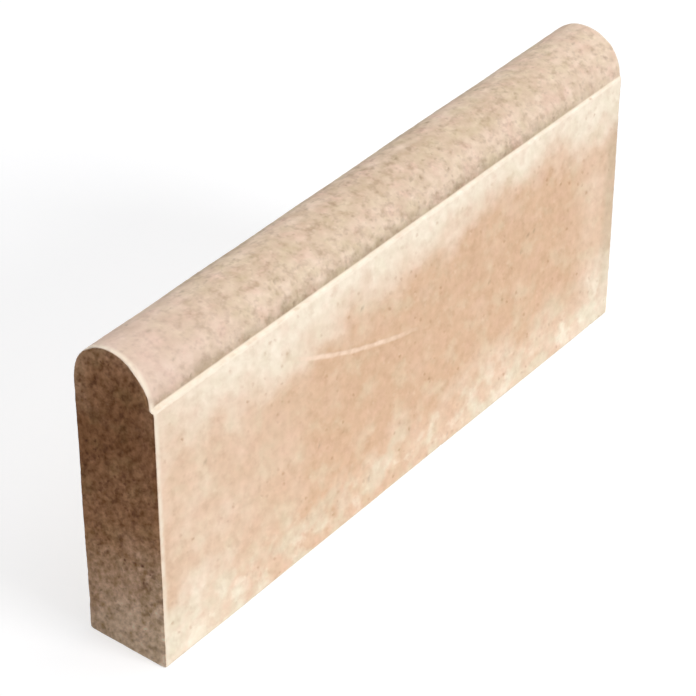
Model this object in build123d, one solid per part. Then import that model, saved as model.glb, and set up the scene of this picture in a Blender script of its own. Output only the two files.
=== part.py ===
from build123d import *

import os

# A straight concrete garden kerb with a half-round top, in millimetres.
#
# The kerb is pressed upright in a steel mould, as one piece. The mould's walls form the two faces and the two
# ends. A shoe with a half-round hollow underneath comes down between the walls and presses the crown. The shoe
# is a little narrower than the mould, so a narrow ledge is left beside the crown on both faces, and it falls
# outwards.
#
# X runs along the kerb, -Y is the front face, +Z is up. The origin is under the middle of the foot.

# Size of the whole kerb
LENGTH = 500.0
WIDTH = 65.0
HEIGHT = 235.0

# Ledge beside the crown, where the pressing shoe stops short of the mould's wall
LEDGE_WIDTH = 2.0
LEDGE_FALL = 1.0

# Softened edges: a concrete arris never leaves the mould sharp
FOOT_ARRIS_RADIUS = 2.0
LEDGE_ARRIS_RADIUS = 1.4
LEDGE_ROOT_RADIUS = 0.6
END_ARRIS_RADIUS = 1.2


def crown_radius():
    """Radius of the half-round top, which fills the width between the two ledges."""
    return WIDTH / 2 - LEDGE_WIDTH


def springing_height():
    """Height of the crown's centre, where the half-round rises from the ledges."""
    return HEIGHT - crown_radius()


def wall_height():
    """Height of the flat faces, from the foot to the outer edge of the ledges."""
    return springing_height() - LEDGE_FALL


def section():
    """Cross-section of the kerb in the YZ plane, standing on Z = 0, with its long edges softened."""
    half_width = WIDTH / 2
    half_crown = crown_radius()
    springing = springing_height()
    wall_top = wall_height()
    softened = {
        0: FOOT_ARRIS_RADIUS,
        wall_top: LEDGE_ARRIS_RADIUS,
        springing: LEDGE_ROOT_RADIUS,
    }

    with BuildSketch(Plane.YZ) as profile:
        with BuildLine():
            Polyline(
                (-half_crown, springing),
                (-half_width, wall_top),
                (-half_width, 0),
                (half_width, 0),
                (half_width, wall_top),
                (half_crown, springing),
            )
            ThreePointArc((half_crown, springing), (0, HEIGHT), (-half_crown, springing))
        make_face()

        for height, radius in softened.items():
            fillet(profile.vertices().filter_by_position(Axis.Y, height, height), radius)
    return profile.sketch


def kerb():
    """The section carried along the length, with the arris round both ends softened."""
    body = extrude(section(), amount=LENGTH / 2, both=True)
    ends = body.faces().filter_by(Axis.X)
    return fillet(ends.edges(), END_ARRIS_RADIUS)


os.makedirs("parts", exist_ok=True)
export_step(kerb(), "parts/kerb.step")
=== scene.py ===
"""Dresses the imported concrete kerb: one cast piece with worn arrises, pits and chips, in sandy concrete.

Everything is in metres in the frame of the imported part: X along the kerb, -Y the front face, +Z up. The near
end is the one at -X. Sizes of the finer relief and of the finishes are named in millimetres.
"""

import logging
import math
from collections.abc import Sequence
from dataclasses import dataclass
from enum import Enum

import bpy
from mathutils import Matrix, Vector

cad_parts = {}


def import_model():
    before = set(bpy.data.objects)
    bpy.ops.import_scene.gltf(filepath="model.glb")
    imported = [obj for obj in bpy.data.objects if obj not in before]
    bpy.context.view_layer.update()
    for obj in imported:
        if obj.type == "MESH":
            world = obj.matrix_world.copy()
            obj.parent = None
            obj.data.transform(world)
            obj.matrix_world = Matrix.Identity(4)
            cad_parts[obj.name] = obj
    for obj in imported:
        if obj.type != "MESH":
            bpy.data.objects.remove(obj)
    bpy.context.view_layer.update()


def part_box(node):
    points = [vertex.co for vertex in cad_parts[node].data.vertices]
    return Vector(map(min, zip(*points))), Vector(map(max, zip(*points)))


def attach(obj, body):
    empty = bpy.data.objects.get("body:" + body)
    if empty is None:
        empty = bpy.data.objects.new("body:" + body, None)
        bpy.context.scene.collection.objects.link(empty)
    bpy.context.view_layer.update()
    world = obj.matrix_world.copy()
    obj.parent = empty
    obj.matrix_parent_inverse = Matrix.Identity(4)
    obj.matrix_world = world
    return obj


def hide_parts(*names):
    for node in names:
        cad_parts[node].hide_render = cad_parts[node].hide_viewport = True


log = logging.getLogger("kerb")

MM = 0.001
PER_M = 1000.0

Node = bpy.types.Node
Plug = Node | bpy.types.NodeSocket | float | Sequence[float] | str | None

# A fade: where it starts, where it ends, its value up to the start and its value from the end on.
Fade = tuple[float, float, float, float]


class Socket(Enum):
    """Kinds of input that the casting tree offers by name."""

    LENGTH = "NodeSocketFloat"
    MATERIAL = "NodeSocketMaterial"


class Mask(Enum):
    """Point attributes that the relief leaves on the mesh for the finish to read."""

    CROWN = "crown"
    END = "end"
    WORN = "worn"
    PIT = "pit"


def linear(hex_colour: str) -> tuple[float, float, float, float]:
    """Turns an sRGB colour into the linear one that nodes and lamps take.

    Args:
        hex_colour: six hex digits after a hash sign.

    Returns:
        Linear red, green, blue and an alpha of 1.
    """
    parts = [int(hex_colour[i:i + 2], 16) / 255 for i in (1, 3, 5)]
    red, green, blue = (c / 12.92 if c <= 0.04045 else ((c + 0.055) / 1.055) ** 2.4 for c in parts)
    return red, green, blue, 1.0


class Graph:
    """A shader or geometry node tree, with one way to add a node to it."""

    def __init__(self, tree: bpy.types.NodeTree) -> None:
        """Keeps the tree that nodes are added to."""
        self.tree = tree

    def add(self, kind: str, *plugs: Plug, **settings: object) -> Node:
        """Adds a node, sets it up and fills its inputs.

        Args:
            kind: Blender's name for the node.
            plugs: what each input in use takes, in order: a node's first output, a socket, a value, or None.
            settings: the node's own properties.

        Returns:
            The new node.
        """
        node = self.tree.nodes.new(kind)
        for name, value in settings.items():
            setattr(node, name, value)
        in_use = [socket for socket in node.inputs if socket.enabled]
        for socket, plug in zip(in_use, plugs):
            self.plug(socket, plug)
        return node

    def plug(self, socket: bpy.types.NodeSocket, plug: Plug) -> None:
        """Links an input, or sets its value.

        Args:
            socket: the input to fill.
            plug: a node, an output socket, a value, a colour such as "#ffffff", or None to leave it as it is.
        """
        if plug is None:
            return
        if isinstance(plug, Node):
            plug = next(output for output in plug.outputs if output.enabled)
        if isinstance(plug, bpy.types.NodeSocket):
            self.tree.links.new(plug, socket)
        elif isinstance(plug, str) and plug.startswith("#"):
            socket.default_value = linear(plug)
        else:
            socket.default_value = plug


MATH = "ShaderNodeMath"
VECTOR = "ShaderNodeVectorMath"
RANGE = "ShaderNodeMapRange"
MIX = "ShaderNodeMix"
NOISE = "ShaderNodeTexNoise"
CELLS = "ShaderNodeTexVoronoi"
SPLIT = "ShaderNodeSeparateXYZ"
JOIN = "ShaderNodeCombineXYZ"
MOVE = "GeometryNodeSetPosition"
BLUR = "GeometryNodeBlurAttribute"
STORE = "GeometryNodeStoreNamedAttribute"

# Settings that many nodes share.
COLOUR = {"data_type": "RGBA"}
STAIN = {"data_type": "RGBA", "blend_type": "MULTIPLY"}
SMOOTH = {"interpolation_type": "SMOOTHSTEP"}
ON_POINTS = {"data_type": "FLOAT", "domain": "POINT"}


def by_zone(graph: Graph, masks: dict[Mask, Plug], wall: float, crown: float, end: float) -> Node:
    """Blends an amount between the three kinds of surface.

    Args:
        graph: the tree.
        masks: what gives each stored mask.
        wall: the amount on the walls.
        crown: the amount on the crown.
        end: the amount on the ends.

    Returns:
        Node that gives the blended amount.
    """
    body = graph.add(RANGE, masks[Mask.CROWN], 0.0, 1.0, wall, crown)
    return graph.add(MIX, masks[Mask.END], body, end)


def patches(
    graph: Graph, place: Plug, size: float, seed: int, detail: float = 1.0, rough: float = 0.5
) -> Node:
    """Noise patches. Fades that read them start and end close to their average, 0.5.

    Args:
        graph: the tree.
        place: position in millimetres.
        size: width of a patch in millimetres.
        seed: which of many like patterns to take.
        detail: number of finer layers over the patches.
        rough: weight of each finer layer against the one before.

    Returns:
        Node that gives 0.5 on average, and mostly 0.3 to 0.7.
    """
    moved = graph.add(VECTOR, place, (137.0 * seed, 71.0 * seed, 193.0 * seed), operation="ADD")
    return graph.add(NOISE, moved, 1 / size, detail, rough)


@dataclass(frozen=True)
class Relief:
    """Relief of one kind of cast surface, in millimetres.

    Attributes:
        wave: height of the gentle unevenness, about a finger wide.
        grain: height of the coarse grain, a few millimetres wide.
        pit_share: share of the pit cells that hold a pit.
        pit_depth: depth of a pit.
    """

    wave: float
    grain: float
    pit_share: float
    pit_depth: float


@dataclass(frozen=True)
class KerbCast:
    """The kerb as it left the mould: the CAD section carried along its length, worn and pitted.

    The pressing shoe came down slightly askew, so the crown sits a little to the back at the near end and a
    little to the front at the far end. Sizes are in millimetres where nothing else is said.

    Attributes:
        low, high: lowest and highest corner of the CAD solid, in metres.
        ledge_width, ledge_fall: width of the ledge beside the crown, and its drop to the top of the wall.
        shoe_shift_near, shoe_shift_far: shift of the crown to the back at each end.
        cells_along, cells_across: quads along the kerb, and across the top of the crown.
        wall_rows, ledge_rows, crown_rows: rows of quads up a wall, across a ledge, and on up to a shoulder.
        end_crowding: push of grid lines towards the ends, and the odd power that keeps it there.
        wall_crowding: the same towards the foot and the ledge.
        shoulder_angle: angle from the crest to a shoulder, where the rows of the side meet the top.
        blur_steps: steps of blur that soften the arrises.
        end_band: distances from an end between which the full blur fades in.
        ledge_band, ledge_blur: height above and below the ledge where the blur is weak, and its strength.
        worn_move: how far a point moves inwards where wear starts to show, and where it shows in full.
        end_facing: how squarely a point faces along the kerb where the end's finish starts, and is full.
        crown_start: heights above the ledge between which the crown's finish fades in.
        sway, sway_size: height and width of the slow bend of every surface.
        wave_size, grain_size: width of the gentle unevenness, and of the coarse grain.
        pit_size: width of a cell that may hold a pit.
        pit_rim, pit_floor: smallest and largest radius of a pit, and that of its flat bottom, in cells.
        chip_size, chip_depth: width and depth of a chip.
        wall, crown, end: relief of each kind of surface.
        seed: which of many like reliefs to take.
    """

    low: Vector
    high: Vector
    ledge_width: float = 2.0
    ledge_fall: float = 1.0
    shoe_shift_near: float = 1.3
    shoe_shift_far: float = -0.7
    cells_along: int = 300
    cells_across: int = 36
    wall_rows: int = 82
    ledge_rows: int = 5
    crown_rows: int = 17
    end_crowding: tuple[float, int] = (0.03, 25)
    wall_crowding: tuple[float, int] = (0.04, 21)
    shoulder_angle: float = math.radians(45)
    blur_steps: int = 6
    end_band: tuple[float, float] = (5.0, 3.0)
    ledge_band: float = 6.0
    ledge_blur: float = 0.12
    worn_move: tuple[float, float] = (0.10, 0.22)
    end_facing: tuple[float, float] = (0.72, 0.96)
    crown_start: tuple[float, float] = (-0.2, 0.8)
    sway: float = 0.3
    sway_size: float = 90.0
    wave_size: float = 15.0
    grain_size: float = 3.6
    pit_size: float = 7.5
    pit_rim: tuple[float, float] = (0.20, 0.34)
    pit_floor: float = 0.08
    chip_size: float = 9.0
    chip_depth: float = 0.6
    wall: Relief = Relief(wave=0.10, grain=0.06, pit_share=0.02, pit_depth=0.4)
    crown: Relief = Relief(wave=0.20, grain=0.26, pit_share=0.22, pit_depth=0.6)
    end: Relief = Relief(wave=0.22, grain=0.30, pit_share=0.30, pit_depth=0.7)
    seed: int = 7

    @property
    def springing(self) -> float:
        """Height of the crown's centre, in metres."""
        return self.high.z - (self.high.y - self.ledge_width * MM)

    def stretched(self, graph: Graph, share: Plug, crowding: tuple[float, int]) -> Node:
        """Crowds grid lines towards both ends of a range, where the arrises are.

        Args:
            graph: the tree.
            share: place of an evenly spaced line, from -1 to 1.
            crowding: how far lines in the middle are pushed outwards, and the odd power of the push.

        Returns:
            Node that gives the line's new place, from -1 to 1.
        """
        push, power = crowding
        bent = graph.add(MATH, share, float(power), operation="POWER")
        pulled = graph.add(MATH, bent, -push, 0.0, operation="MULTIPLY_ADD")
        return graph.add(MATH, share, 1 + push, pulled, operation="MULTIPLY_ADD")

    def form(self, graph: Graph, given: Node) -> Node:
        """Bends a closed box of quads into the kerb: walls, ledges and half-round crown.

        Args:
            graph: the tree.
            given: the tree's group input.

        Returns:
            Node whose geometry has the kerb's sharp form.
        """
        rows = self.wall_rows + self.ledge_rows + self.crown_rows
        wall_share = self.wall_rows / rows
        ledge_share = (self.wall_rows + self.ledge_rows) / rows
        grid = (self.cells_along + 1, self.cells_across + 1, rows + 1)
        box = graph.add("GeometryNodeMeshCube", (2.0, 2.0, 2.0), *grid)
        place = graph.add(SPLIT, graph.add("GeometryNodeInputPosition"))
        along, across, up = (place.outputs[axis] for axis in "XYZ")

        half_length = graph.add(MATH, given.outputs["Length"], 0.5, operation="MULTIPLY")
        half_width = graph.add(MATH, given.outputs["Width"], 0.5, operation="MULTIPLY")
        along = self.stretched(graph, along, self.end_crowding)
        x = graph.add(MATH, along, half_length, operation="MULTIPLY")

        shifts = (given.outputs["Shoe Shift Near"], given.outputs["Shoe Shift Far"])
        shift = graph.add(RANGE, along, -1.0, 1.0, *shifts)
        radius = graph.add(MATH, half_width, given.outputs["Ledge Width"], operation="SUBTRACT")
        springing = graph.add(MATH, given.outputs["Height"], radius, operation="SUBTRACT")
        wall_top = graph.add(MATH, springing, given.outputs["Ledge Fall"], operation="SUBTRACT")

        row = graph.add(RANGE, up, -1.0, 1.0, 0.0, 1.0)
        on_wall = graph.add(RANGE, row, 0.0, wall_share, -1.0, 1.0)
        on_wall = self.stretched(graph, on_wall, self.wall_crowding)
        on_wall = graph.add(RANGE, on_wall, -1.0, 1.0, 0.0, wall_top)
        on_ledge = graph.add(RANGE, row, wall_share, ledge_share, 0.0, 1.0)
        on_crown = graph.add(RANGE, row, ledge_share, 1.0, 0.0, math.pi / 2 - self.shoulder_angle)
        inset = graph.add(MATH, on_ledge, given.outputs["Ledge Width"], operation="MULTIPLY")
        side_y = graph.add(MATH, half_width, inset, operation="SUBTRACT")
        side_y = graph.add(MATH, side_y, graph.add(MATH, on_crown, operation="COSINE"), operation="MULTIPLY")
        side_z = graph.add(MATH, on_ledge, given.outputs["Ledge Fall"], on_wall, operation="MULTIPLY_ADD")
        rise = graph.add(MATH, on_crown, operation="SINE")
        side_z = graph.add(MATH, rise, radius, side_z, operation="MULTIPLY_ADD")

        turn = graph.add(MATH, across, self.shoulder_angle, operation="MULTIPLY")
        top_y = graph.add(MATH, graph.add(MATH, turn, operation="SINE"), radius, operation="MULTIPLY")
        turned_up = graph.add(MATH, turn, operation="COSINE")
        top_z = graph.add(MATH, turned_up, radius, springing, operation="MULTIPLY_ADD")
        corner_y = graph.add(MATH, radius, math.sin(self.shoulder_angle), operation="MULTIPLY")
        corner_z = graph.add(MATH, radius, math.cos(self.shoulder_angle), springing, operation="MULTIPLY_ADD")

        # Below the ledge a row stays straight, and above it the row rises towards the round of the crown.
        lift = graph.add(RANGE, row, ledge_share, 1.0, 0.0, 1.0)
        straight_y = graph.add(MATH, across, corner_y, operation="MULTIPLY")
        bulge_y = graph.add(MATH, top_y, straight_y, operation="SUBTRACT")
        bulge_y = graph.add(MATH, bulge_y, lift, operation="MULTIPLY")
        y = graph.add(MATH, across, side_y, bulge_y, operation="MULTIPLY_ADD")
        y = graph.add(MATH, on_ledge, shift, y, operation="MULTIPLY_ADD")
        bulge_z = graph.add(MATH, top_z, corner_z, operation="SUBTRACT")
        z = graph.add(MATH, bulge_z, lift, side_z, operation="MULTIPLY_ADD")
        return graph.add(MOVE, box, None, graph.add(JOIN, x, y, z))

    def worn(self, graph: Graph, sharp: Node) -> Node:
        """Softens every arris, most at the ends and the foot, and notes how much each point moved.

        Only the part of the blur along the normal is kept, so the grid doesn't slide along the surface.

        Args:
            graph: the tree.
            sharp: node whose geometry has the sharp form.

        Returns:
            Node whose geometry has softened arrises.
        """
        here = graph.add("GeometryNodeInputPosition")
        place = graph.add(SPLIT, here)
        from_middle = graph.add(MATH, place.outputs["X"], operation="ABSOLUTE")
        limits = (self.high.x - depth * MM for depth in self.end_band)
        near_end = graph.add(RANGE, from_middle, *limits, 0.0, 1.0)
        band = self.ledge_band * MM
        beside = graph.add(MATH, place.outputs["Z"], self.springing, band, operation="COMPARE")
        off_ledge = graph.add(RANGE, beside, 0.0, 1.0, 1.0, self.ledge_blur)
        weight = graph.add(MATH, near_end, off_ledge, operation="MAXIMUM")
        blurred = graph.add(BLUR, here, self.blur_steps, weight, data_type="FLOAT_VECTOR")
        move = graph.add(VECTOR, blurred, here, operation="SUBTRACT")
        normal = graph.add("GeometryNodeInputNormal")
        inwards = graph.add(VECTOR, move, normal, operation="DOT_PRODUCT").outputs["Value"]
        moved = graph.add(MATH, inwards, operation="ABSOLUTE")
        wear = graph.add(RANGE, moved, *(distance * MM for distance in self.worn_move), 0.0, 1.0)
        noted = graph.add(STORE, sharp, None, Mask.WORN.value, wear, **ON_POINTS)
        return graph.add(MOVE, noted, None, None, graph.add(VECTOR, normal, inwards, operation="SCALE"))

    def zoned(self, graph: Graph, soft: Node) -> Node:
        """Marks the crown and the ends.

        Args:
            graph: the tree.
            soft: node whose geometry has softened arrises.

        Returns:
            Node that gives the marked geometry.
        """
        normal = graph.add(SPLIT, graph.add("GeometryNodeInputNormal"))
        facing = graph.add(MATH, normal.outputs["X"], operation="ABSOLUTE")
        end = graph.add(RANGE, facing, *self.end_facing, 0.0, 1.0, **SMOOTH)
        height = graph.add(SPLIT, graph.add("GeometryNodeInputPosition")).outputs["Z"]
        limits = (self.springing + above * MM for above in self.crown_start)
        crown = graph.add(RANGE, height, *limits, 0.0, 1.0, **SMOOTH)
        marked = soft
        for mask, value in ((Mask.END, end), (Mask.CROWN, crown)):
            marked = graph.add(STORE, marked, None, mask.value, value, **ON_POINTS)
        return marked

    def pits(self, graph: Graph, place: Plug, share: Plug) -> Node:
        """Round air pits, one in some of the cells of a cell pattern.

        Args:
            graph: the tree.
            place: position in millimetres.
            share: share of the cells that hold a pit.

        Returns:
            Node that gives 1 at the bottom of a pit and 0 outside it.
        """
        cells = graph.add(CELLS, place, 1 / self.pit_size)
        draw = graph.add("FunctionNodeSeparateColor", cells.outputs["Color"])
        holds = graph.add(MATH, draw.outputs["Red"], share, operation="LESS_THAN")
        rim = graph.add(RANGE, draw.outputs["Green"], 0.0, 1.0, *self.pit_rim)
        depth = graph.add(RANGE, cells.outputs["Distance"], rim, self.pit_floor, 0.0, 1.0, **SMOOTH)
        return graph.add(MATH, depth, holds, operation="MULTIPLY")

    def relieved(self, graph: Graph, marked: Node) -> Node:
        """Moves the surface in and out: unevenness, grain, pits and chipped arrises.

        Args:
            graph: the tree.
            marked: node that gives the marked geometry.

        Returns:
            Node that gives the finished relief, with no point below the floor.
        """
        zones = (self.wall, self.crown, self.end)
        masks = {
            mask: graph.add("GeometryNodeInputNamedAttribute", mask.value, data_type="FLOAT")
            for mask in (Mask.CROWN, Mask.END, Mask.WORN)
        }
        here = graph.add("GeometryNodeInputPosition")
        place = graph.add(VECTOR, here, (PER_M,) * 3, (self.seed * 100.0,) * 3, operation="MULTIPLY_ADD")
        slow = graph.add(NOISE, place, 1 / self.sway_size, 1.0)
        sway = graph.add(RANGE, slow, 0.25, 0.75, -self.sway, self.sway)
        layers = []
        for size, detail, heights in (
            (self.wave_size, 2.0, [zone.wave for zone in zones]),
            (self.grain_size, 1.0, [zone.grain for zone in zones]),
        ):
            noise = graph.add(NOISE, place, 1 / size, detail)
            centred = graph.add(MATH, noise, 0.5, operation="SUBTRACT")
            layers.append(graph.add(MATH, centred, by_zone(graph, masks, *heights), operation="MULTIPLY"))
        fine = graph.add(MATH, *layers, operation="ADD")
        raised = graph.add(MATH, fine, 2.0, sway, operation="MULTIPLY_ADD")

        pit = self.pits(graph, place, by_zone(graph, masks, *(zone.pit_share for zone in zones)))
        pit_depth = by_zone(graph, masks, *(zone.pit_depth for zone in zones))
        sunk = graph.add(MATH, pit, pit_depth, operation="MULTIPLY")
        raised = graph.add(MATH, raised, sunk, operation="SUBTRACT")

        chipping = graph.add(NOISE, place, 1 / self.chip_size, 2.0, 0.6)
        chip = graph.add(RANGE, chipping, 0.60, 0.74, 0.0, self.chip_depth, **SMOOTH)
        chip = graph.add(MATH, chip, masks[Mask.WORN], operation="MULTIPLY")
        raised = graph.add(MATH, raised, chip, operation="SUBTRACT")

        normal = graph.add("GeometryNodeInputNormal")
        raised = graph.add(MATH, raised, MM, operation="MULTIPLY")
        offset = graph.add(VECTOR, normal, raised, operation="SCALE")
        pitted = graph.add(STORE, marked, None, Mask.PIT.value, pit, **ON_POINTS)
        moved = graph.add(MOVE, pitted, None, None, offset)
        place = graph.add(SPLIT, graph.add("GeometryNodeInputPosition"))
        height = graph.add(MATH, place.outputs["Z"], 0.0, operation="MAXIMUM")
        standing = graph.add(JOIN, place.outputs["X"], place.outputs["Y"], height)
        return graph.add(MOVE, moved, None, standing)

    def inputs(self, material: bpy.types.Material) -> dict[str, tuple[Socket, object]]:
        """Names the casting tree's inputs.

        Args:
            material: the concrete.

        Returns:
            Each input's kind and value by its name, with lengths in metres.
        """
        return {
            "Length": (Socket.LENGTH, self.high.x - self.low.x),
            "Width": (Socket.LENGTH, self.high.y - self.low.y),
            "Height": (Socket.LENGTH, self.high.z - self.low.z),
            "Ledge Width": (Socket.LENGTH, self.ledge_width * MM),
            "Ledge Fall": (Socket.LENGTH, self.ledge_fall * MM),
            "Shoe Shift Near": (Socket.LENGTH, self.shoe_shift_near * MM),
            "Shoe Shift Far": (Socket.LENGTH, self.shoe_shift_far * MM),
            "Material": (Socket.MATERIAL, material),
        }

    def tree(self, inputs: dict[str, tuple[Socket, object]]) -> tuple[bpy.types.NodeTree, dict[str, object]]:
        """Builds the whole tree, from the box of quads to the material.

        Args:
            inputs: each input's kind and value by its name.

        Returns:
            The Geometry Nodes tree, and each input's value by its socket's identifier.
        """
        tree = bpy.data.node_groups.new("kerb_casting", "GeometryNodeTree")
        tree.is_modifier = True
        graph = Graph(tree)
        tree.interface.new_socket("Geometry", in_out="OUTPUT", socket_type="NodeSocketGeometry")
        values = {}
        for name, (kind, value) in inputs.items():
            socket = tree.interface.new_socket(name, in_out="INPUT", socket_type=kind.value)
            values[socket.identifier] = value
        given = graph.add("NodeGroupInput")
        shaped = self.relieved(graph, self.zoned(graph, self.worn(graph, self.form(graph, given))))
        smooth = graph.add("GeometryNodeSetShadeSmooth", shaped, None, True)
        whole = graph.add("GeometryNodeRealizeInstances", smooth)
        dressed = graph.add("GeometryNodeSetMaterial", whole, None, given.outputs["Material"])
        graph.add("NodeGroupOutput", dressed)
        return tree, values

    def build(self, material: bpy.types.Material) -> bpy.types.Object:
        """Makes the kerb's mesh and sets it on the body.

        Args:
            material: the concrete.

        Returns:
            The finished piece.
        """
        source = bpy.data.objects.new("kerb_source", bpy.data.meshes.new("kerb_source"))
        bpy.context.scene.collection.objects.link(source)
        modifier = source.modifiers.new("casting", "NODES")
        modifier.node_group, values = self.tree(self.inputs(material))
        for identifier, value in values.items():
            modifier[identifier] = value
        evaluated = source.evaluated_get(bpy.context.evaluated_depsgraph_get())
        mesh = bpy.data.meshes.new_from_object(evaluated)
        bpy.data.objects.remove(source)
        # The box of quads brings an empty slot of its own, before the concrete's.
        mesh.materials.pop(index=0)
        mesh.name = "kerb_cast"
        piece = bpy.data.objects.new("kerb_cast", mesh)
        bpy.context.scene.collection.objects.link(piece)
        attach(piece, "root")
        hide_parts("kerb")
        log.info("kerb_cast: %d faces, material %s", len(mesh.polygons), [m.name for m in mesh.materials])
        return piece


@dataclass(frozen=True)
class Spot:
    """Where on the kerb a point of the surface lies, in millimetres, for patterns and fades to read.

    Attributes:
        place: position.
        leaned: position with its height leaned along the kerb, so that patches fall to the right.
        across: distance behind the middle of the kerb.
        up: height above the floor.
        above: height above the ledge.
        from_near: distance from the near end.
        from_far: distance from the far end.
    """

    place: Plug
    leaned: Plug
    across: Plug
    up: Plug
    above: Plug
    from_near: Plug
    from_far: Plug


@dataclass(frozen=True)
class Speckle:
    """Sand grains and stains that show in the paint of one kind of cast surface. Sizes are in millimetres.

    Real sand is 0.5 to 2 mm wide, about a pixel or two here, where it would vanish. The grains are drawn in
    cells of 4 to 6 mm instead, as coarse as they need to be to show.

    Attributes:
        seed: which of many like patterns to take.
        clouds, mottle, grit: size and contrast of the widest patches, of pea-sized ones and of coarse sand.
        tint: size and strength of the patches of two hues, the warm rose and the cool lime.
        stain: size and strength of the ragged dark stains.
        specks: size of the cells that may hold a single grain that stands out.
        dark, dark_share: colour and strength of the dark grains, which tint what is below them.
        crowding: share of the cells that hold a dark one, where they are sparse and where they crowd.
        pale, pale_share: colour and strength of the pale grains.
        bump: height of the sand grains.
        warmth: how strongly red, green and blue follow the tone, so that dark tones are warm.
        ruffle: size and reach of the noise that makes the grains ragged.
        radius: radius of the smallest and the largest grain, in cells.
        crowd_size: width of the patches where dark grains crowd.
    """

    seed: int
    clouds: tuple[float, float]
    mottle: tuple[float, float]
    grit: tuple[float, float]
    tint: tuple[float, float]
    stain: tuple[float, float]
    rose: str
    lime: str
    specks: float
    dark: str
    dark_share: float
    crowding: tuple[float, float]
    pale: str
    pale_share: float
    bump: float
    warmth: tuple[float, float, float] = (0.86, 1.04, 1.36)
    ruffle: tuple[float, float] = (3.0, 2.4)
    radius: tuple[float, float] = (0.30, 0.62)
    crowd_size: float = 20.0

    def lay(self, graph: Graph, place: Plug, colour: Plug) -> Node:
        """Lays tinted patches, three layers of lighter and darker ones, stains and sand grains over a colour.

        Args:
            graph: the tree.
            place: position in millimetres.
            colour: the plain colour.

        Returns:
            Node that gives the speckled colour.
        """
        size, strength = self.tint
        drift = patches(graph, place, size, self.seed, 3.0)
        rosy = graph.add(RANGE, drift, 0.48, 0.32, 0.0, strength)
        limy = graph.add(RANGE, drift, 0.52, 0.68, 0.0, strength)
        colour = graph.add(MIX, rosy, colour, self.rose, **COLOUR)
        colour = graph.add(MIX, limy, colour, self.lime, **COLOUR)
        tone: Plug = 1.0
        for layer, (size, contrast) in enumerate((self.clouds, self.mottle, self.grit), start=1):
            patch = patches(graph, place, size, self.seed + 3 * layer, 2.0)
            shade = graph.add(MATH, patch, 0.5, operation="SUBTRACT")
            tone = graph.add(MATH, shade, 2 * contrast, tone, operation="MULTIPLY_ADD")
        rest = tuple(1 - share for share in self.warmth)
        warm = graph.add(VECTOR, tone, self.warmth, rest, operation="MULTIPLY_ADD")
        colour = graph.add(VECTOR, colour, warm, operation="MULTIPLY")
        size, strength = self.stain
        ragged = patches(graph, place, size, self.seed + 18, 2.0, 0.65)
        stain = graph.add(RANGE, ragged, 0.50, 0.72, 0.0, strength)
        colour = graph.add(MIX, stain, colour, self.dark, **STAIN)
        return self.grained(graph, place, colour)

    def grained(self, graph: Graph, place: Plug, colour: Plug) -> Node:
        """Lays single dark and pale sand grains over a colour, as ragged discs with soft rims.

        Args:
            graph: the tree.
            place: position in millimetres.
            colour: the toned colour.

        Returns:
            Node that gives the colour with its grains.
        """
        size, reach = self.ruffle
        ragged = graph.add(NOISE, place, 1 / size, 1.0).outputs["Color"]
        ruffled = graph.add(VECTOR, ragged, (reach,) * 3, place, operation="MULTIPLY_ADD")
        grains = graph.add(CELLS, ruffled, 1 / self.specks)
        draw = graph.add("ShaderNodeSeparateColor", grains.outputs["Color"])
        radius = graph.add(RANGE, draw.outputs["Green"], 0.0, 1.0, *self.radius)
        grain = graph.add(RANGE, grains.outputs["Distance"], radius, 0.0, 0.0, 1.0, **SMOOTH)
        crowd = patches(graph, place, self.crowd_size, self.seed + 12)
        crowded = graph.add(RANGE, crowd, 0.35, 0.60, *self.crowding)
        chance = graph.add(MATH, draw.outputs["Red"], crowded, operation="SUBTRACT")
        dark = graph.add(RANGE, chance, 0.0, -0.3, 0.0, self.dark_share)
        dark = graph.add(MATH, dark, grain, operation="MULTIPLY")
        pale = graph.add(RANGE, draw.outputs["Red"], 0.75, 1.0, 0.0, self.pale_share)
        pale = graph.add(MATH, pale, grain, operation="MULTIPLY")
        colour = graph.add(MIX, dark, colour, self.dark, **STAIN)
        return graph.add(MIX, pale, colour, self.pale, **COLOUR)


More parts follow.
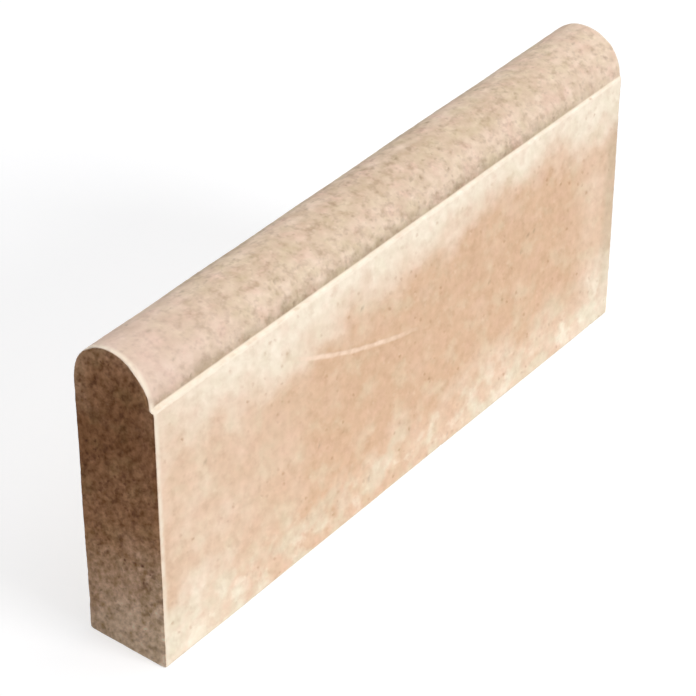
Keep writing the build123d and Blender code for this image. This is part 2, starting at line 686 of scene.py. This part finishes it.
@dataclass(frozen=True)
class Bloom:
    """Lime bloom on a wall-cast face: a chalky film where damp dried, with the sand's tan bare in the middle.

    Lengths are in millimetres. Amounts run from 0 on bare tan to 1, along the kerb from its near end.

    Attributes:
        patch, fray: width of the soft patches that fray every border, and how much they add and take.
        ledge_gap: distance below the ledge where the bloom starts to fade.
        ledge_reach, ledge_fray: how far down it reaches, and how far the patches move that.
        ledge_amount: its amount below the ledge.
        near_side, far_side: its amount beside the near end, and by the distance from the far end.
        foot_reach, foot_fray: how far up from the foot it reaches, and how far the patches move that.
        near_foot, far_foot: its amount at the foot, beside the near end and beyond.
        crust_patch, crust: width of the patches of thick crust, and its amount by those patches.
        crust_height: how the crust thins out with the height.
    """

    patch: float = 26.0
    fray: float = 0.6
    ledge_gap: float = 2.0
    ledge_reach: Fade = (230.0, 290.0, 68.0, 56.0)
    ledge_fray: float = 60.0
    ledge_amount: Fade = (5.0, 130.0, 0.30, 1.0)
    near_side: Fade = (60.0, 190.0, 0.36, 0.0)
    far_side: Fade = (70.0, 25.0, 0.0, 0.30)
    foot_reach: float = 80.0
    foot_fray: float = 120.0
    near_foot: Fade = (40.0, 80.0, 0.50, 0.08)
    far_foot: Fade = (130.0, 380.0, 0.08, 0.56)
    crust_patch: float = 15.0
    crust: Fade = (0.50, 0.66, -0.06, 0.50)
    crust_height: Fade = (15.0, 60.0, 1.0, 0.0)

    def mask(self, graph: Graph, spot: Spot) -> Node:
        """Amount of bloom on a face.

        Args:
            graph: the tree.
            spot: where on the kerb.

        Returns:
            Node that gives 0 on bare tan and 1 on full bloom.
        """
        soft = graph.add(NOISE, spot.place, 1 / self.patch, 3.0, 0.45)
        patchy = graph.add(MATH, soft, 0.5, operation="SUBTRACT")

        drop = graph.add(MATH, spot.above, -1.0, operation="MULTIPLY")
        reach = graph.add(RANGE, spot.from_near, *self.ledge_reach)
        reach = graph.add(MATH, patchy, self.ledge_fray, reach, operation="MULTIPLY_ADD")
        hanging = graph.add(RANGE, drop, self.ledge_gap, reach, 1.0, 0.0, **SMOOTH)
        most = graph.add(RANGE, spot.from_near, *self.ledge_amount)
        hanging = graph.add(MATH, hanging, most, operation="MULTIPLY")

        reach = graph.add(MATH, patchy, self.foot_fray, self.foot_reach, operation="MULTIPLY_ADD")
        near = graph.add(RANGE, spot.from_near, *self.near_foot)
        far = graph.add(RANGE, spot.from_near, *self.far_foot)
        most = graph.add(MATH, near, far, operation="MAXIMUM")
        rising = graph.add(RANGE, spot.up, 0.0, reach, most, 0.0, **SMOOTH)
        crust = graph.add(RANGE, patches(graph, spot.leaned, self.crust_patch, 5, 3.0), *self.crust)
        thinned = graph.add(RANGE, spot.up, *self.crust_height)
        rising = graph.add(MATH, crust, thinned, rising, operation="MULTIPLY_ADD")

        near = graph.add(RANGE, spot.from_near, *self.near_side, **SMOOTH)
        far = graph.add(RANGE, spot.from_far, *self.far_side, **SMOOTH)
        sides = graph.add(MATH, near, far, operation="MAXIMUM")
        borders = graph.add(MATH, rising, sides, operation="ADD")
        frayed = graph.add(MATH, patchy, self.fray, borders, operation="MULTIPLY_ADD")
        return graph.add(MATH, hanging, frayed, operation="ADD", use_clamp=True)


@dataclass(frozen=True)
class Scratch:
    """A long shallow scratch on the front face. It shows pale, because it bares fresh concrete.

    Lengths are in millimetres.

    Attributes:
        start: distance of its first tip from the near end, and that tip's height.
        slope: turn from the level, in radians.
        bow: how far its middle sags.
        wobble: size and reach of its small bends.
        gap: size of the weaker stretches in it.
        taper: share of its half length where it starts to thin out towards a tip.
        depth: its depth, as bump.
        colour, strength: fresh concrete, and how much of it shows.
    """

    start: tuple[float, float] = (126.5, 172.0)
    length: float = 148.0
    slope: float = math.radians(-21)
    bow: float = 5.5
    width: float = 2.6
    wobble: tuple[float, float] = (11.0, 2.0)
    gap: float = 8.0
    taper: float = 0.65
    depth: float = 0.15
    colour: str = "#ffe4cd"
    strength: float = 0.8

    def mask(self, graph: Graph, spot: Spot) -> Node:
        """Marks the scratch.

        Args:
            graph: the tree.
            spot: where on the kerb.

        Returns:
            Node that gives 1 in the scratch and 0 beside it.
        """
        along, height = self.start
        here = graph.add(JOIN, spot.from_near, spot.across, spot.up)
        moved = graph.add("ShaderNodeMapping", here, (-along, 0.0, -height))
        turned = graph.add("ShaderNodeVectorRotate", moved, None, (0.0, 1.0, 0.0), self.slope)
        axes = graph.add(SPLIT, turned)
        share = graph.add(RANGE, axes.outputs["X"], 0.0, self.length, -1.0, 1.0)
        squared = graph.add(MATH, share, 2.0, operation="POWER")
        sag = graph.add(MATH, squared, self.bow, -self.bow, operation="MULTIPLY_ADD")
        off = graph.add(MATH, axes.outputs["Z"], sag, operation="SUBTRACT")
        size, reach = self.wobble
        bends = graph.add(NOISE, spot.place, 1 / size, 1.0)
        wobble = graph.add(MATH, bends, reach, -0.5 * reach, operation="MULTIPLY_ADD")
        off = graph.add(MATH, graph.add(MATH, off, wobble, operation="ADD"), operation="ABSOLUTE")
        inside = graph.add(RANGE, off, 0.2 * self.width, self.width, 1.0, 0.0, **SMOOTH)
        from_middle = graph.add(MATH, share, operation="ABSOLUTE")
        tapered = graph.add(RANGE, from_middle, self.taper, 1.0, 1.0, 0.0)
        mark = graph.add(MATH, inside, tapered, operation="MULTIPLY")
        weaker = graph.add(RANGE, graph.add(NOISE, spot.place, 1 / self.gap, 1.0), 0.35, 0.6, 0.4, 1.0)
        mark = graph.add(MATH, mark, weaker, operation="MULTIPLY")
        on_front = graph.add(MATH, spot.across, 0.0, operation="LESS_THAN")
        return graph.add(MATH, mark, on_front, operation="MULTIPLY")


@dataclass(frozen=True)
class WallFace:
    """Face cast against the mould's wall: closed and smooth to the eye, tan, and limy at its borders.

    Lengths are in millimetres, and amounts run from 0 to 1.

    Attributes:
        tan, peach, cream: bare concrete, thin bloom and thick bloom; cream also pales the worn arrises, partly
            as painted highlight.
        far_rim, rim: dull strip beside the far end, and its amount by the distance from that end.
        thin, thick: how bloom turns tan to peach, and peach to cream.
        foot_lime: greenish lime along the foot.
        lime_patch, lime: width of its patches, and its amount by them.
        lime_height: how it thins out with the height.
        ledge_highlight: painted highlight on the ledge's outer arris.
        line, line_amount: centre and half height of that white line, above the ledge, and its amount.
    """

    tan: str = "#dfbb9b"
    peach: str = "#ebcfb5"
    cream: str = "#faecd7"
    far_rim: str = "#cbb79b"
    foot_lime: str = "#ebe3cb"
    ledge_highlight: str = "#fff1de"
    thin: Fade = (0.0, 0.45, 0.0, 1.0)
    thick: Fade = (0.4, 1.0, 0.0, 1.0)
    rim: Fade = (17.0, 9.0, 0.0, 0.55)
    lime_patch: float = 22.0
    lime: Fade = (0.46, 0.62, 0.0, 0.55)
    lime_height: Fade = (15.0, 80.0, 1.0, 0.0)
    line: tuple[float, float] = (-1.0, 1.4)
    line_amount: float = 0.6
    bloom: Bloom = Bloom()
    scratch: Scratch = Scratch()
    speckle: Speckle = Speckle(
        seed=1, clouds=(24.0, 0.06), mottle=(8.0, 0.15), grit=(4.4, 0.03),
        tint=(20.0, 0.24), stain=(9.0, 0.16),
        rose="#ebc3ac", lime="#ebe2c4", specks=5.6, dark="#c4a283",
        dark_share=0.50, crowding=(0.05, 0.34), pale="#fdebd6", pale_share=0.22, bump=0.03,
    )

    def paint(self, graph: Graph, spot: Spot, mark: Plug) -> Node:
        """Colour of the face, with its grain and the scratch.

        Args:
            graph: the tree.
            spot: where on the kerb.
            mark: the scratch's mask.

        Returns:
            Node that gives the colour.
        """
        bloom = self.bloom.mask(graph, spot)
        limy = graph.add(RANGE, patches(graph, spot.place, self.lime_patch, 8, 2.0), *self.lime)
        low_down = graph.add(RANGE, spot.up, *self.lime_height, **SMOOTH)
        limy = graph.add(MATH, limy, low_down, operation="MULTIPLY")
        # A painted highlight along the ledge's outer arris.
        line = graph.add(MATH, spot.above, *self.line, operation="COMPARE")
        line = graph.add(MATH, line, self.line_amount, operation="MULTIPLY")
        colour: Plug = self.tan
        for amount, over in (
            (graph.add(RANGE, bloom, *self.thin), self.peach),
            (graph.add(RANGE, spot.from_far, *self.rim), self.far_rim),
            (graph.add(RANGE, bloom, *self.thick), self.cream),
            (limy, self.foot_lime),
            (line, self.ledge_highlight),
        ):
            colour = graph.add(MIX, amount, colour, over, **COLOUR)
        colour = self.speckle.lay(graph, spot.leaned, colour)
        mark = graph.add(MATH, mark, self.scratch.strength, operation="MULTIPLY")
        return graph.add(MIX, mark, colour, self.scratch.colour, **COLOUR)


@dataclass(frozen=True)
class CrownTop:
    """The pressed crown: open and sandy, greyer along its crest, partly from weathering and partly as painted
    shade, with a band of grime and painted shade in the corner above each ledge, and painted shade behind the
    crest.

    Lengths are in millimetres, and amounts run from 0 to 1.

    Attributes:
        buff, grey, pink: bare, weathered and fresh concrete; grey also paints the shade along the front of the
            crest.
        dirt_and_shade, crest_back_shade: grime with painted shade in the corner above a ledge, and painted
            shade behind the crest.
        weather_patch, weather: width of the weathered patches, and their amount.
        crest_front, crest_back: greying from the front of the crest on, partly weathering and partly painted
            shade, and the share left at its back.
        far_weather: the share left of all weathering and of that painted shade, by the distance from the far
            end.
        behind: amount of painted shade behind the crest.
        dirt_and_shade_patch, dirt_and_shade_fray: width of the patches that fray that band of grime and
        painted shade, and how much they add.
        dirt_and_shade_height, dirt_and_shade_amount: that band by the height above the ledge, strongest in the
        corner, and by the distance from the far end.
        fresh, fresh_height: fresh concrete by the distance from the near end, and by that height.
    """

    buff: str = "#e8d0b9"
    grey: str = "#d0b79c"
    pink: str = "#e6cabd"
    dirt_and_shade: str = "#a08d72"
    crest_back_shade: str = "#9c9684"
    weather_patch: float = 20.0
    weather: Fade = (0.42, 0.66, 0.0, 0.6)
    crest_front: Fade = (-26.0, -14.0, 0.0, 0.75)
    crest_back: Fade = (-3.0, 7.0, 1.0, 0.0)
    far_weather: Fade = (100.0, 30.0, 1.0, 0.3)
    behind: Fade = (11.0, 18.0, 0.0, 0.3)
    dirt_and_shade_patch: float = 9.0
    dirt_and_shade_fray: float = 2.2
    dirt_and_shade_height: Fade = (0.0, 13.0, 1.2, -0.25)
    dirt_and_shade_amount: Fade = (75.0, 25.0, 0.60, 0.12)
    fresh: Fade = (15.0, 110.0, 0.45, 0.0)
    fresh_height: Fade = (2.0, 10.0, 0.2, 1.0)
    speckle: Speckle = Speckle(
        seed=2, clouds=(18.0, 0.07), mottle=(7.5, 0.25), grit=(4.4, 0.05),
        tint=(15.0, 0.40), stain=(7.0, 0.32),
        rose="#e8c4b2", lime="#dccbaa", specks=4.6, dark="#9c8470",
        dark_share=0.29, crowding=(0.15, 0.65), pale="#f8e4cf", pale_share=0.33, bump=0.06,
    )

    def paint(self, graph: Graph, spot: Spot) -> Node:
        """Colour of the crown, with a ragged band of grime and painted shade in the corner above each ledge.

        Args:
            graph: the tree.
            spot: where on the kerb.

        Returns:
            Node that gives the colour.
        """
        patchy = graph.add(RANGE, patches(graph, spot.place, self.weather_patch, 3, 3.0), *self.weather)
        # Greyer along the front of the crest: partly weathering, partly painted shade.
        front = graph.add(RANGE, spot.across, *self.crest_front, **SMOOTH)
        back = graph.add(RANGE, spot.across, *self.crest_back, **SMOOTH)
        crest = graph.add(MATH, front, back, operation="MULTIPLY")
        weather = graph.add(MATH, patchy, crest, operation="MAXIMUM")
        most = graph.add(RANGE, spot.from_far, *self.far_weather)
        weather = graph.add(MATH, weather, most, operation="MULTIPLY")

        # A ragged darker band in the corner above each ledge: some grime, and painted shade.
        patchy = patches(graph, spot.leaned, self.dirt_and_shade_patch, 4, 3.0)
        frayed = graph.add(MATH, patchy, self.dirt_and_shade_fray, -0.5 * self.dirt_and_shade_fray, operation="MULTIPLY_ADD")
        low = graph.add(RANGE, spot.above, *self.dirt_and_shade_height)
        dirt_and_shade = graph.add(MATH, low, frayed, operation="ADD", use_clamp=True)
        most = graph.add(RANGE, spot.from_far, *self.dirt_and_shade_amount)
        dirt_and_shade = graph.add(MATH, dirt_and_shade, most, operation="MULTIPLY")

        # Painted shade on the back of the crown, behind the crest.
        behind = graph.add(RANGE, spot.across, *self.behind)
        colour: Plug = self.buff
        for amount, over in ((weather, self.grey), (dirt_and_shade, self.dirt_and_shade), (behind, self.crest_back_shade)):
            colour = graph.add(MIX, amount, colour, over, **COLOUR)
        colour = self.speckle.lay(graph, spot.leaned, colour)
        fresh = graph.add(RANGE, spot.from_near, *self.fresh)
        fresh = graph.add(MATH, fresh, graph.add(RANGE, spot.above, *self.fresh_height), operation="MULTIPLY")
        return graph.add(MIX, fresh, colour, self.pink, **COLOUR)


@dataclass(frozen=True)
class EndFace:
    """End of the kerb: open, coarse and brown, darkest below the crown and pale at the foot. Its brown is
    partly painted shade, the darkest band is painted shade with some dampness, and the pale foot is painted
    bounce light from the floor with some bloom.

    Lengths are in millimetres, and amounts run from 0 to 1.

    Attributes:
        dark, brown, pale: dampened concrete with painted shade, concrete whose brown is partly painted shade,
            and bloom at the foot with painted bounce light from the floor.
        rim: paler rim round the crown, painted light.
        tilt: how much higher the bands stand at the back, for each millimetre across.
        wander: size and reach of the bends of the bands.
        damp_and_shade, dry: dampness and painted shade by the height, and what is taken from it again below
            the crown, partly dryness and partly painted light.
        bloom: amount of bloom and of painted bounce light from the floor, by the height.
        rim_height, rim_across: heights between which the rim's painted light starts, and its amount from front
            to back.
        rim_out: the share of it that shows, by the distance from the crown's centre.
        plainer: how much the grain fades out towards the foot.
    """

    dark: str = "#9c6b45"
    brown: str = "#c4926a"
    pale: str = "#ffe0c0"
    rim: str = "#d9ad88"
    tilt: float = 0.6
    wander: tuple[float, float] = (24.0, 45.0)
    damp_and_shade: Fade = (70.0, 170.0, 0.0, 1.0)
    dry: Fade = (185.0, 225.0, 0.0, 0.5)
    bloom: Fade = (0.0, 95.0, 1.0, 0.0)
    rim_height: tuple[float, float] = (175.0, 200.0)
    rim_across: Fade = (-20.0, 20.0, 0.25, 0.70)
    rim_out: Fade = (20.0, 31.0, 0.0, 1.0)
    plainer: Fade = (10.0, 80.0, 0.32, 0.0)
    speckle: Speckle = Speckle(
        seed=3, clouds=(18.0, 0.20), mottle=(6.5, 0.80), grit=(3.6, 0.66),
        tint=(18.0, 0.26), stain=(6.5, 0.55),
        rose="#b07a58", lime="#9d8152", specks=3.8, dark="#8a6248",
        dark_share=0.90, crowding=(0.15, 0.65), pale="#e2b892", pale_share=0.50, bump=0.14,
    )

    def paint(self, graph: Graph, spot: Spot) -> Node:
        """Colour of the end, with its grain, which is plainer towards the foot.

        Args:
            graph: the tree.
            spot: where on the kerb.

        Returns:
            Node that gives the colour.
        """
        size, reach = self.wander
        height = graph.add(MATH, spot.across, self.tilt, spot.up, operation="MULTIPLY_ADD")
        wander = graph.add(MATH, graph.add(NOISE, spot.place, 1 / size, 3.0), 0.5, operation="SUBTRACT")
        height = graph.add(MATH, wander, reach, height, operation="MULTIPLY_ADD")
        # Bands by the height: a darker band of dampness and painted shade, lifted below the crown by dryness
        # and painted light, over a pale foot of bloom and painted bounce light from the floor.
        dry = graph.add(RANGE, height, *self.dry, **SMOOTH)
        damp_and_shade = graph.add(MATH, graph.add(RANGE, height, *self.damp_and_shade), dry, operation="SUBTRACT")

        # A paler rim round the crown: painted light.
        out = graph.add(VECTOR, graph.add(JOIN, 0.0, spot.across, spot.above), operation="LENGTH")
        out = graph.add(RANGE, out.outputs["Value"], *self.rim_out)
        most = graph.add(RANGE, spot.across, *self.rim_across)
        rim = graph.add(RANGE, spot.up, *self.rim_height, 0.0, most)
        rim = graph.add(MATH, rim, out, operation="MULTIPLY")

        # The end's brown, darker than the walls, is partly painted shade.
        plain: Plug = self.brown
        bloom = graph.add(RANGE, height, *self.bloom)
        for amount, over in ((damp_and_shade, self.dark), (bloom, self.pale), (rim, self.rim)):
            plain = graph.add(MIX, amount, plain, over, **COLOUR)
        grainy = self.speckle.lay(graph, spot.leaned, plain)
        return graph.add(MIX, graph.add(RANGE, spot.up, *self.plainer), grainy, plain, **COLOUR)


@dataclass(frozen=True)
class PressedConcrete:
    """Sand concrete, pressed semi-dry in a steel mould and taken out at once.

    So little water leaves no glossy cement skin. The eye sees a matt, grainy surface with no sheen even at a
    low angle, warm buff from its sand, and it takes up lime and dirt unevenly. The mould's walls leave the
    faces the smoothest, and the crown and the ends stay open.

    Attributes:
        springing: height of the ledges, in millimetres.
        half_length: half of the kerb's length, in millimetres.
        lean: how far the patterns lean along the kerb, for each millimetre of height.
        pinhole, pinhole_amount: colour of the painted shade at the bottom of a pit, and how much of it shows.
        rub_and_highlight, rub_and_highlight_gaps: pale border, worn and partly painted highlight, by the
        distance from the near end, and the share left in its gaps.
        rub_and_highlight_patch: width of those gaps, in millimetres.
        rub_and_highlight_amount: how pale rubbed and worn places are, partly as painted highlight.
        grain_sizes: widths of the coarse and the fine sand grains of the bump, in millimetres.
    """

    springing: float
    half_length: float
    name: str = "semi_dry_pressed_sand_concrete"
    wall: WallFace = WallFace()
    crown: CrownTop = CrownTop()
    end: EndFace = EndFace()
    lean: float = 0.35
    pinhole: str = "#4f3820"
    pinhole_amount: float = 0.3
    rub_and_highlight: Fade = (2.6, 5.4, 1.0, 0.0)
    rub_and_highlight_patch: float = 7.0
    rub_and_highlight_gaps: Fade = (0.35, 0.55, 0.45, 1.0)
    rub_and_highlight_amount: float = 0.8
    grain_sizes: tuple[float, float] = (2.4, 0.9)
    roughness: float = 0.9
    specular: float = 0.2

    def spot(self, graph: Graph) -> Spot:
        """Adds the nodes that say where on the kerb a point lies.

        Args:
            graph: the tree.

        Returns:
            What gives the point's position and distances.
        """
        here = graph.add("ShaderNodeTexCoord").outputs["Object"]
        place = graph.add(VECTOR, here, (PER_M,) * 3, operation="MULTIPLY")
        axes = graph.add(SPLIT, place)
        along, across, up = (axes.outputs[axis] for axis in "XYZ")
        leaned = graph.add(VECTOR, place, (self.lean, self.lean, 1.0), operation="DOT_PRODUCT")
        return Spot(
            place=place,
            leaned=graph.add(JOIN, along, across, leaned.outputs["Value"]),
            across=across,
            up=up,
            above=graph.add(MATH, up, self.springing, operation="SUBTRACT"),
            from_near=graph.add(MATH, along, self.half_length, operation="ADD"),
            from_far=graph.add(MATH, self.half_length, along, operation="SUBTRACT"),
        )

    def rubbed_and_highlit(self, graph: Graph, spot: Spot, worn: Plug) -> Node:
        """Pale worn arrises, and a broken pale border beside the near end: partly wear, partly painted
        highlight.

        Args:
            graph: the tree.
            spot: where on the kerb.
            worn: the mask of the worn arrises.

        Returns:
            Node that gives how pale the place is.
        """
        border = graph.add(RANGE, spot.from_near, *self.rub_and_highlight)
        gaps = graph.add(RANGE, patches(graph, spot.place, self.rub_and_highlight_patch, 6), *self.rub_and_highlight_gaps)
        border = graph.add(MATH, border, gaps, operation="MULTIPLY")
        rubbed_and_highlit = graph.add(MATH, border, worn, operation="MAXIMUM")
        return graph.add(MATH, rubbed_and_highlit, self.rub_and_highlight_amount, operation="MULTIPLY")

    def bumped(self, graph: Graph, spot: Spot, masks: dict[Mask, Plug], mark: Plug) -> Node:
        """Height of the sand grains that are too fine for the mesh, and of the scratch.

        Args:
            graph: the tree.
            spot: where on the kerb.
            masks: what gives each stored mask.
            mark: the scratch's mask.

        Returns:
            Node that gives the bumped normal.
        """
        coarse_size, fine_size = self.grain_sizes
        coarse = graph.add(NOISE, spot.place, 1 / coarse_size, 2.0, 0.6)
        fine = graph.add(NOISE, spot.place, 1 / fine_size, 1.0)
        grains = graph.add(MATH, fine, 0.5, coarse, operation="MULTIPLY_ADD")
        most = by_zone(graph, masks, *(zone.speckle.bump for zone in (self.wall, self.crown, self.end)))
        height = graph.add(MATH, grains, most, operation="MULTIPLY")
        height = graph.add(MATH, mark, -self.wall.scratch.depth, height, operation="MULTIPLY_ADD")
        return graph.add("ShaderNodeBump", 1.0, MM, None, height)

    def material(self) -> bpy.types.Material:
        """Builds the material.

        Returns:
            The concrete's material.
        """
        material = bpy.data.materials.new(self.name)
        material.use_nodes = True
        material.node_tree.nodes.clear()
        graph = Graph(material.node_tree)
        masks = {
            mask: graph.add("ShaderNodeAttribute", attribute_name=mask.value).outputs["Fac"] for mask in Mask
        }
        spot = self.spot(graph)
        mark = self.wall.scratch.mask(graph, spot)
        walls = self.wall.paint(graph, spot, mark)
        colour = graph.add(MIX, masks[Mask.CROWN], walls, self.crown.paint(graph, spot), **COLOUR)
        # Worn arrises and the near end's border, paled with cream: partly wear, partly painted highlight.
        rubbed_and_highlit = self.rubbed_and_highlit(graph, spot, masks[Mask.WORN])
        colour = graph.add(MIX, rubbed_and_highlit, colour, self.wall.cream, **COLOUR)
        colour = graph.add(MIX, masks[Mask.END], colour, self.end.paint(graph, spot), **COLOUR)
        # Painted shade at the bottom of each pit.
        pits = graph.add(MATH, masks[Mask.PIT], self.pinhole_amount, operation="MULTIPLY")
        colour = graph.add(MIX, pits, colour, self.pinhole, **COLOUR)
        shader = graph.add("ShaderNodeBsdfPrincipled")
        graph.plug(shader.inputs["Base Color"], colour)
        graph.plug(shader.inputs["Roughness"], self.roughness)
        graph.plug(shader.inputs["Specular IOR Level"], self.specular)
        graph.plug(shader.inputs["Normal"], self.bumped(graph, spot, masks, mark))
        graph.add("ShaderNodeOutputMaterial", shader)
        return material


@dataclass(frozen=True)
class Lamp:
    """A soft, distant lamp.

    Attributes:
        name: the lamp's name.
        towards: direction from the kerb to the lamp.
        strength: light on a surface that faces the lamp, in watts for each square metre.
        spread: angle that the lamp covers in the sky, in degrees.
        shadow: whether the kerb casts a shadow from it.
    """

    name: str
    towards: tuple[float, float, float]
    strength: float
    spread: float
    shadow: bool = True

    def hang(self) -> None:
        """Adds the lamp to the scene."""
        data = bpy.data.lights.new(self.name, "SUN")
        data.energy = self.strength
        data.angle = math.radians(self.spread)
        data.use_shadow = self.shadow
        lamp = bpy.data.objects.new(self.name, data)
        bpy.context.scene.collection.objects.link(lamp)
        lamp.rotation_mode = "QUATERNION"
        lamp.rotation_quaternion = Vector(self.towards).to_track_quat("Z", "Y")


@dataclass(frozen=True)
class Studio:
    """A pale floor, plain soft light and the camera of the photograph. Places and distances are in metres.

    Attributes:
        lens, sensor: focal length of the camera and width of its sensor, in millimetres.
        clip: nearest and furthest distance that it sees.
        floor_half: half of the floor's width.
        floor_glow: light that the floor gives off to the camera alone, which lifts it to white.
        sky, sky_strength: colour and strength of the weak light from all round.
    """

    camera_place: tuple[float, float, float] = (-1.2366, -0.9569, 1.2309)
    camera_forward: tuple[float, float, float] = (0.63576, 0.50062, -0.58752)
    lens: float = 147.32
    sensor: float = 36.0
    clip: tuple[float, float] = (0.05, 50.0)
    lamps: tuple[Lamp, ...] = (
        Lamp("key", (0.15, -0.90, 0.40), 1.85, 25),
        Lamp("top", (0.20, -0.30, 0.93), 0.95, 50),
        Lamp("back_fill", (0.30, 0.55, 0.78), 1.3, 40, shadow=False),
    )
    floor_half: float = 6.0
    floor_grey: str = "#cccccc"
    floor_glow: float = 0.46
    backdrop: str = "#ffffff"
    sky: str = "#f2f5ff"
    sky_strength: float = 0.15

    def camera(self) -> None:
        """Sets the camera where the photograph was taken from."""
        data = bpy.data.cameras.new("camera")
        data.lens = self.lens
        data.sensor_width = self.sensor
        data.clip_start, data.clip_end = self.clip
        camera = bpy.data.objects.new("camera", data)
        bpy.context.scene.collection.objects.link(camera)
        camera.location = self.camera_place
        camera.rotation_mode = "QUATERNION"
        camera.rotation_quaternion = Vector(self.camera_forward).to_track_quat("-Z", "Y")
        bpy.context.scene.camera = camera

    def seen(self, graph: Graph) -> Node:
        """Node that gives 1 where the camera looks, also through glass or by a mirror, and 0 elsewhere."""
        path = graph.add("ShaderNodeLightPath").outputs
        straight = graph.add(MATH, path["Is Camera Ray"], path["Is Glossy Ray"], operation="MAXIMUM")
        return graph.add(MATH, straight, path["Is Transmission Ray"], operation="MAXIMUM")

    def floor(self) -> None:
        """Lays a pale floor that shows white to the camera and keeps the kerb's shadow."""
        mesh = bpy.data.meshes.new("floor")
        half = self.floor_half
        corners = [(-half, -half, 0), (half, -half, 0), (half, half, 0), (-half, half, 0)]
        mesh.from_pydata(corners, [], [(0, 1, 2, 3)])
        floor = bpy.data.objects.new("floor", mesh)
        bpy.context.scene.collection.objects.link(floor)
        material = bpy.data.materials.new("pale_floor")
        material.use_nodes = True
        material.node_tree.nodes.clear()
        graph = Graph(material.node_tree)
        matt = graph.add("ShaderNodeBsdfDiffuse", self.floor_grey)
        glow = graph.add(MATH, self.seen(graph), self.floor_glow, operation="MULTIPLY")
        white = graph.add("ShaderNodeEmission", self.backdrop, glow)
        graph.add("ShaderNodeOutputMaterial", graph.add("ShaderNodeAddShader", matt, white))
        mesh.materials.append(material)

    def light(self) -> None:
        """Hangs the lamps and adds a weak sky."""
        for lamp in self.lamps:
            lamp.hang()
        world = bpy.data.worlds.new("sky")
        bpy.context.scene.world = world
        world.use_nodes = True
        world.node_tree.nodes.clear()
        graph = Graph(world.node_tree)
        sky = graph.add("ShaderNodeBackground", self.sky, self.sky_strength)
        white = graph.add("ShaderNodeBackground", self.backdrop, 1.0)
        graph.add("ShaderNodeOutputWorld", graph.add("ShaderNodeMixShader", self.seen(graph), sky, white))

    def build(self) -> None:
        """Sets up the whole studio."""
        bpy.context.scene.view_settings.view_transform = "Standard"
        self.camera()
        self.floor()
        self.light()


def main() -> None:
    """Loads the frame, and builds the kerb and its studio."""
    logging.basicConfig(level=logging.INFO, format="%(message)s")
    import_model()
    low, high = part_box("kerb")
    Studio().build()
    cast = KerbCast(low, high)
    concrete = PressedConcrete(springing=cast.springing * PER_M, half_length=high.x * PER_M)
    cast.build(concrete.material())


if __name__ == "__main__":
    main()
